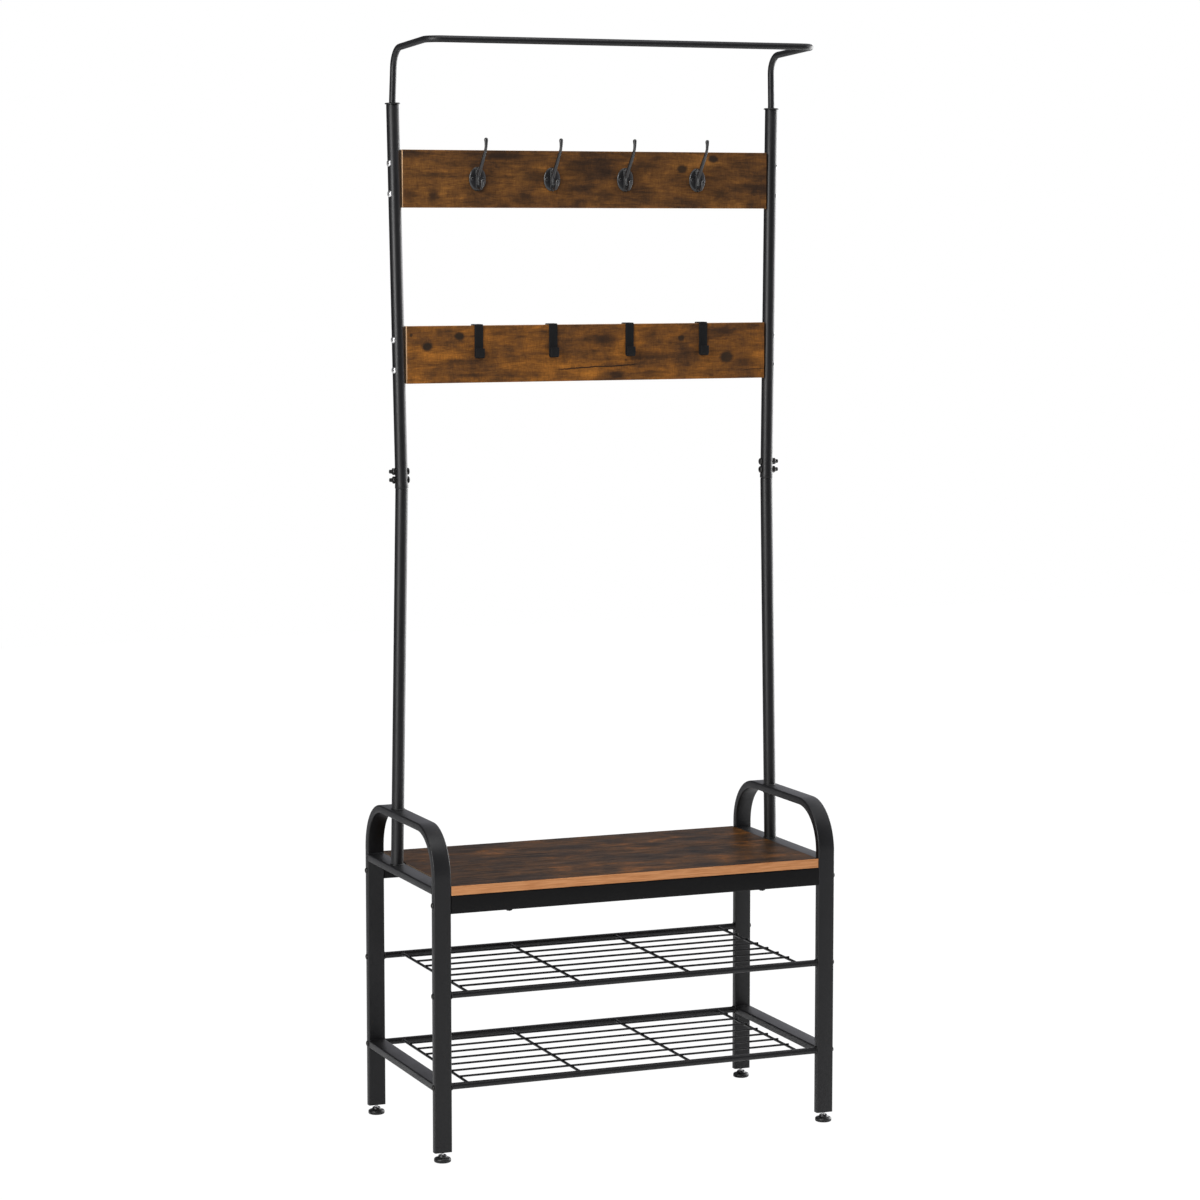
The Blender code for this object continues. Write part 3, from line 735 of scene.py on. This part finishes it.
def domed_head(bm, radius, tall, place, socket=0.0, cross=False):
    """A screw head standing on its seat at the place: a dome with a round socket or a raised cross."""
    steps = 8
    dome = []
    for i in range(steps):
        a = math.pi / 2 * i / steps
        dome.append((radius * math.cos(a) ** 0.8, tall * (0.22 + 0.78 * math.sin(a))))
    profile = [(0, 0), (radius * 0.97, 0), (radius, tall * 0.1)] + dome
    if socket:
        profile = [(r, z) for r, z in profile if r > socket * 1.12 or z == 0]
        profile += [(socket * 1.08, tall * 0.99), (socket, tall * 0.93)]
        profile += [(socket * 0.98, tall * 0.35), (0, tall * 0.3)]
    else:
        profile.append((0, tall))
    turned(bm, profile, 36, place)
    if cross:
        for turn in (0, math.pi / 2):
            blade = Matrix.Rotation(turn, 4, "Z") @ Matrix.Translation((0, 0, tall * 0.93))
            blade @= Matrix.Diagonal((radius * 1.05, radius * 0.2, tall * 0.2, 1))
            bmesh.ops.create_cube(bm, size=1, matrix=place @ blade)


def make_joint_bolts(black):
    """A domed screw on the inner side of each post joint, and its nut and thread end on the outer side."""
    seat = POST_DIA / 2 + 0.0002
    for side, sign in SIDES.items():
        for name, level in JOINT_BOLT_LEVELS.items():
            centre = post_axis(level, sign)
            inner = facing(centre - Vector((sign * seat, 0, 0)), (-sign, 0, 0))
            outer = facing(centre + Vector((sign * seat, 0, 0)), (sign, 0, 0))
            bm = bmesh.new()
            domed_head(bm, JOINT_HEAD_RADIUS, JOINT_HEAD_TALL, inner, socket=0.002)
            turned(bm, [(0, -0.0006), (0.0058, -0.0006), (0.0058, 0.0003), (0.0028, 0.0004)], 32, outer)
            hex_ring(bm, 0.0060, 0.0003, 0.0047, outer @ Matrix.Rotation(level * 90, 4, "Z"))
            thread = [(0, 0.0), (0.0026, 0.0)] + thread_profile(0.0034, 0.0040, 0.0090, 0.001)
            thread += [(0.0034, 0.0092), (0.0033, 0.0097), (0.0026, 0.0101), (0, 0.0101)]
            turned(bm, thread, 24, outer)
            node = f"post_joint_bolt_{side}_{name}"
            piece(f"{node}_screw", mesh_of(node, bm), black, replaced=[node])


def make_fasteners(black, zinc):
    """The screw heads that the CAD leaves out: on the legs and posts, and under the seat."""
    for side, sign in SIDES.items():
        bm = bmesh.new()
        face = sign * (LEG_X + TUBE_WIDE / 2)
        for level in FRAME_BOLT_LEVELS:
            for end in ENDS.values():
                place = facing((face, end * LEG_Y, level), (sign, 0, 0))
                domed_head(bm, LEG_HEAD_RADIUS, LEG_HEAD_TALL, place, socket=0.0017)
        piece(f"leg_screws_{side}", mesh_of("leg_screws", bm), black)
        bm = bmesh.new()
        for board in ("upper", "lower"):
            low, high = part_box(f"{board}_hook_board")
            for step in (-BOARD_BOLT_SPREAD, BOARD_BOLT_SPREAD):
                centre = post_axis((low[2] + high[2]) / 2 + step, sign)
                outward = Vector((sign * 0.965, -0.26, 0))
                place = facing(centre + outward * (POST_DIA / 2 - BOARD_HEAD_SINK), outward)
                domed_head(bm, BOARD_HEAD_RADIUS, BOARD_HEAD_TALL, place, socket=0.0018)
        piece(f"board_screws_{side}", mesh_of("board_screws", bm), zinc)
    bm = bmesh.new()
    for end in ENDS:
        low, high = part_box(f"seat_rail_{end}")
        for x in (-SEAT_SCREW_X, SEAT_SCREW_X):
            place = facing((x, (low[1] + high[1]) / 2, low[2]), (0, 0, -1))
            domed_head(bm, SEAT_HEAD_RADIUS, SEAT_HEAD_TALL, place, cross=True)
    piece("seat_screws", mesh_of("seat_screws", bm), black)


def cast_mesh(name, bm, voxel, smoothing):
    """One skin over the shapes in the bmesh, with soft inner corners as in a casting."""
    mesh = mesh_of(name, bm)
    obj = bpy.data.objects.new(name, mesh)
    bpy.context.scene.collection.objects.link(obj)
    skin = obj.modifiers.new("skin", "REMESH")
    skin.mode = "VOXEL"
    skin.voxel_size = voxel
    ease = obj.modifiers.new("ease", "SMOOTH")
    ease.iterations = smoothing
    ease.factor = 0.5
    graph = bpy.context.evaluated_depsgraph_get()
    made = bpy.data.meshes.new_from_object(obj.evaluated_get(graph))
    bpy.data.objects.remove(obj, do_unlink=True)
    made.shade_smooth()
    return made


def prong(bm, points):
    """A bar in the YZ plane through (y, z, radius) points, with a round tip."""
    steps = 6
    path = smooth_path([Vector((0, y, z)) for y, z, _ in points], steps)
    radii = smooth_path([Vector((0, 0, radius)) for _, _, radius in points], steps)
    sizes = [radius.z for radius in radii]
    onward = (path[-1] - path[-2]).normalized()
    tip, size = path[-1], sizes[-1]
    for turn in (0.3, 0.6, 0.9, 1.2, 1.45):
        path.append(tip + onward * size * math.sin(turn))
        sizes.append(size * math.cos(turn))
    sweep(bm, path, circle(1, 20), (1, 0, 0), sizes=sizes)


def make_coat_hooks(lacquer):
    """Cast double hooks: a domed oval plate with a rib, a long upper prong and a short lower one."""
    bm = bmesh.new()
    plate_y = (0, -0.0012, -0.0022, -0.0030, -0.0036, -0.0039)
    plate_sizes = (1, 1, 0.95, 0.84, 0.62, 0.3)
    oval = [(x * 0.0149, z * 0.0199) for x, z in circle(1, 48)]
    sweep(bm, [Vector((0, y, 0)) for y in plate_y], oval, (1, 0, 0), sizes=plate_sizes)
    fin = [(-0.0025, 0.0190), (-0.0040, 0.0175), (-0.0052, 0.0120), (-0.0056, 0)]
    fin += [(-0.0052, -0.0120), (-0.0040, -0.0172), (-0.0022, -0.0190)]
    roof = [(0.0030, -0.0036), (0.0030, 0.0010), (0.0012, 0.0036)]
    roof += [(-0.0010, 0.0036), (-0.0032, 0.0008), (-0.0032, -0.0036)]
    fin_sizes = [0.6, 0.9, 1, 1, 1, 0.95, 0.65]
    sweep(bm, [Vector((0, y, z)) for y, z in fin], roof, (1, 0, 0), sizes=fin_sizes)
    upper = [(-0.0050, 0.002, 0.0030), (-0.0085, 0.0080, 0.0036), (-0.0185, 0.0205, 0.0033)]
    upper += [(-0.0315, 0.036, 0.0029), (-0.0405, 0.0485, 0.0024), (-0.0428, 0.0570, 0.0027)]
    upper.append((-0.0428, 0.0637, 0.0034))
    prong(bm, upper)
    lower = [(-0.0040, -0.0105, 0.0030), (-0.009, -0.0135, 0.0036), (-0.0165, -0.0150, 0.0033)]
    lower += [(-0.0222, -0.0100, 0.0031), (-0.0240, -0.0035, 0.0038)]
    prong(bm, lower)
    mesh = cast_mesh("coat_hook", bm, 0.00032, 9)
    screw = bmesh.new()
    domed_head(screw, HOOK_HEAD_RADIUS, HOOK_HEAD_TALL, Matrix.Identity(4), cross=True)
    screw_mesh = mesh_of("hook_screw", screw)
    board_low, board_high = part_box("upper_hook_board")
    front, level = board_low[1], (board_low[2] + board_high[2]) / 2
    for number in range(1, 5):
        low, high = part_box(f"coat_hook_{number}")
        x = (low[0] + high[0]) / 2
        place = Matrix.Translation((x, front - GAP, level))
        node = f"coat_hook_{number}"
        piece(f"{node}_casting", mesh, lacquer, replaced=[node], place=place)
        for end, sign in SIDES.items():
            head = facing((x + sign * 0.0098, front - GAP - 0.0029, level), (sign * 0.18, -1, 0))
            piece(f"{node}_screw_{end}", screw_mesh, lacquer, place=head)


def make_strap_hooks(matte):
    """Flat steel bent over the lower board, with rounded bends and eased edges. They slide along it."""
    board_low, board_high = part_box("lower_hook_board")
    top = board_high[2] + GAP + STRAP_THICK / 2
    front = board_low[1] - GAP - STRAP_THICK / 2
    back = board_high[1] + GAP + STRAP_THICK / 2
    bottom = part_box("strap_hook_1")[0][2] + STRAP_THICK / 2
    turn = (STRAP_THROAT + STRAP_THICK) / 2
    ease = STRAP_THICK * 0.75
    up, ahead = Vector((0, 0, 1)), Vector((0, -1, 0))
    path = [Vector((0, back, top - STRAP_BACK)), Vector((0, back, top - ease))]
    path += arc(Vector((0, back - ease, top - ease)), -ahead * ease, up * ease, 5)[1:]
    path += arc(Vector((0, front + ease, top - ease)), up * ease, ahead * ease, 5)
    path += arc(Vector((0, front - turn, bottom + turn)), -ahead * turn, -up * turn, 10)
    path += arc(Vector((0, front - turn, bottom + turn)), -up * turn, ahead * turn, 10)[1:]
    path.append(Vector((0, front - 2 * turn, bottom - STRAP_THICK / 2 + STRAP_LIP)))
    section = rounded_rectangle(STRAP_WIDE, STRAP_THICK, 0.0005, 4)
    mesh = swept_mesh("strap_hook", path, section, (1, 0, 0))
    for number in range(1, 5):
        node = f"strap_hook_{number}"
        low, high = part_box(node)
        place = Matrix.Translation(((low[0] + high[0]) / 2, 0, 0))
        piece(f"{node}_strip", mesh, matte, body=node, replaced=[node], place=place)


def make_feet(plastic, zinc):
    socket, rim, tall = 0.0033, 0.014, 0.0115
    profile = [(0, 0.0), (rim - 0.0016, 0.0), (rim - 0.0006, 0.0005), (rim, 0.0016), (rim, 0.0044)]
    profile += [(rim * 0.975, 0.0056), (rim * 0.91, 0.0066), (rim * 0.80, 0.0072), (rim * 0.66, 0.0077)]
    profile += [(rim * 0.56, 0.0084), (rim * 0.51, 0.0094), (rim * 0.48, 0.0108), (rim * 0.45, tall)]
    profile += [(socket + 0.0008, tall), (socket, tall - 0.0006), (socket, 0.006), (0, 0.006)]
    pad_mesh = turned_mesh("foot_pad", profile, 56)
    for end, end_sign in ENDS.items():
        for side, sign in SIDES.items():
            corner = f"{end}_{side}"
            place = Matrix.Translation((sign * LEG_X, end_sign * LEG_Y, 0))
            pad, stem = f"foot_pad_{corner}", f"foot_stem_{corner}"
            piece(f"{pad}_dome", pad_mesh, plastic, pad, [pad], place)
            low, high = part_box(stem)
            bm = bmesh.new()
            outline = [(0, low[2]), (0.0025, low[2])]
            outline += thread_profile(0.003, low[2] + 0.0004, high[2] - 0.0006, 0.001)
            turned(bm, outline + [(0.0022, high[2]), (0, high[2])], 28)
            piece(f"{stem}_thread", mesh_of(stem, bm), zinc, stem, [stem], place)


# Light and camera


def make_camera():
    data = bpy.data.cameras.new("camera")
    data.sensor_width = CAMERA_SENSOR
    data.lens = CAMERA_LENS
    data.clip_end = 100
    camera = bpy.data.objects.new("camera", data)
    camera.location = CAMERA_AT
    camera.rotation_euler = (math.radians(90 + CAMERA_TILT), 0, math.radians(CAMERA_TURN))
    bpy.context.scene.collection.objects.link(camera)
    bpy.context.scene.camera = camera


def make_light(name, place, aim, size, power):
    data = bpy.data.lights.new(name, "AREA")
    data.shape = "RECTANGLE"
    data.size, data.size_y = size
    data.energy = power
    lamp = bpy.data.objects.new(name, data)
    lamp.location = place
    lamp.rotation_euler = (Vector(aim) - Vector(place)).to_track_quat("-Z", "Y").to_euler()
    lamp.visible_camera = False
    bpy.context.scene.collection.objects.link(lamp)


def make_world():
    """A white backdrop, with a dim room round the object that is bright on its right."""
    world = bpy.data.worlds.new("studio")
    world.use_nodes = True
    tree = world.node_tree
    around = tree.nodes["Background"]
    coordinates = tree.nodes.new("ShaderNodeTexCoord")
    aim = tree.nodes.new("ShaderNodeVectorMath")
    aim.operation = "DOT_PRODUCT"
    aim.inputs[1].default_value = Vector((0.94, 0.22, 0.2)).normalized()
    tree.links.new(coordinates.outputs["Generated"], aim.inputs[0])
    ramp = tree.nodes.new("ShaderNodeValToRGB")
    stretch = tree.nodes.new("ShaderNodeMapRange")
    stretch.inputs["From Min"].default_value = -1
    tree.links.new(aim.outputs["Value"], stretch.inputs["Value"])
    tree.links.new(stretch.outputs[0], ramp.inputs[0])
    elements = ramp.color_ramp.elements
    elements[0].position, elements[0].color = 0.3, (0.10, 0.10, 0.105, 1)
    elements[1].position, elements[1].color = 0.98, (1, 1, 1, 1)
    elements.new(0.66).color = (0.13, 0.13, 0.14, 1)
    elements.new(0.84).color = (0.7, 0.7, 0.76, 1)
    tree.links.new(ramp.outputs[0], around.inputs["Color"])
    backdrop = tree.nodes.new("ShaderNodeBackground")
    backdrop.inputs["Color"].default_value = (1, 1, 1, 1)
    backdrop.inputs["Strength"].default_value = 1.0
    seen = tree.nodes.new("ShaderNodeLightPath")
    choose = tree.nodes.new("ShaderNodeMixShader")
    tree.links.new(seen.outputs["Is Camera Ray"], choose.inputs[0])
    tree.links.new(around.outputs[0], choose.inputs[1])
    tree.links.new(backdrop.outputs[0], choose.inputs[2])
    tree.links.new(choose.outputs[0], tree.nodes["World Output"].inputs["Surface"])
    bpy.context.scene.world = world


def make_studio():
    bpy.context.scene.view_settings.view_transform = "Standard"
    make_world()
    make_light("key", (-4.0, -2.2, 3.1), (0, 0, 0.9), (2.0, 2.4), 150)
    make_light("top", (0.0, -0.9, 4.0), (0, 0, 0.6), (2.4, 1.6), 30)
    make_light("left strip", (-3.8, -2.0, 0.9), (0, 0, 0.9), (1.3, 2.6), 46)
    make_light("rim", (3.1, 0.9, 1.1), (0, 0, 1.0), (2.2, 3.0), 130)
    bm = bmesh.new()
    bmesh.ops.create_grid(bm, x_segments=1, y_segments=1, size=7)
    floor = bpy.data.objects.new("floor", mesh_of("floor", bm))
    bpy.context.scene.collection.objects.link(floor)
    s = Shader("floor")
    pale = s.ramp(s.noise(s.where, 3.0, 3.0), [(0.3, (0.86, 0.86, 0.86, 1)), (0.7, (0.9, 0.9, 0.9, 1))])
    seen = s.add("ShaderNodeLightPath").outputs["Is Camera Ray"]
    s.set(Base_Color=s.mix(seen, pale, (0.02, 0.02, 0.02, 1)), Roughness=0.7, Specular_IOR_Level=0.1)
    s.set(Emission_Color=(1, 1, 1, 1), Emission_Strength=seen)
    floor.data.materials.append(s.material)


def main():
    steel = coated("powder_coat", tone(8, 8, 9), tone(15, 15, 17), 0.44, 900.0, 0.2)
    # Painted shade: a darker, less glossy copy of the powder coat for the seat rails, for the shadow under
    # the seat.
    painted_shade_coat = coated("powder_coat_painted_shade", tone(10, 10, 10), tone(15, 15, 15), 0.5, 900.0, 0.2, gloss=0.2)
    lacquer = coated("black_lacquer", tone(12, 12, 13), tone(18, 18, 20), 0.3, 90.0, 0.02, 60.0, 0.9)
    matte = coated("matte_black", tone(13, 13, 13), tone(19, 19, 20), 0.6, 1100.0, 0.2, 25.0, 0.25)
    plastic = coated("black_plastic", tone(18, 18, 18), tone(27, 27, 27), 0.4, 800.0, 0.15, 40.0)
    black = coated("black_screws", tone(16, 16, 15), tone(34, 33, 30), 0.32, 500.0, 0.1, 200.0)
    zinc = plated("zinc_plate", (0.78, 0.78, 0.78, 1), (0.94, 0.94, 0.93, 1), 0.28)
    pale_band = tone(190, 150, 112), tone(222, 184, 142)
    seat_band = tone(184, 122, 78), tone(210, 150, 102)
    # Painted shade: the seat's end faces are coloured darker than its front band, for the shadow they stand
    # in.
    seat_end_painted_shade = tone(92, 78, 66), tone(122, 104, 88)
    upper = rustic("upper_board_wood", "Z", UPPER_TONES, pale_band, pale_band,
                   UPPER_STAINS, UPPER_KNOTS, UPPER_CRACKS, (0.3, 1.7, 2.1), 0.22)
    lower = rustic("lower_board_wood", "Z", LOWER_TONES, pale_band, pale_band,
                   LOWER_STAINS, LOWER_KNOTS, LOWER_CRACKS, (4.1, 0.6, 3.3), 0.22)
    seat = rustic("seat_wood", "Y", SEAT_TONES, seat_band, seat_end_painted_shade,
                  SEAT_STAINS, SEAT_KNOTS, SEAT_CRACKS, (7.7, 2.9, 1.2), 0.02)
    paint("upper_hook_board", upper)
    paint("lower_hook_board", lower)
    paint("seat_board", seat)
    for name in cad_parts:
        if name.startswith("leg_plug"):
            paint(name, plastic)
        if name.startswith("post_sleeve"):
            paint(name, steel)
    make_rectangular_tubes(steel, painted_shade_coat)
    make_side_frames(steel)
    make_welds(steel)
    make_shelves(steel)
    make_posts(steel)
    make_hanging_rail(steel, plastic)
    make_joint_bolts(black)
    make_fasteners(black, zinc)
    make_coat_hooks(lacquer)
    make_strap_hooks(matte)
    make_feet(plastic, zinc)


make_camera()
make_studio()
main()
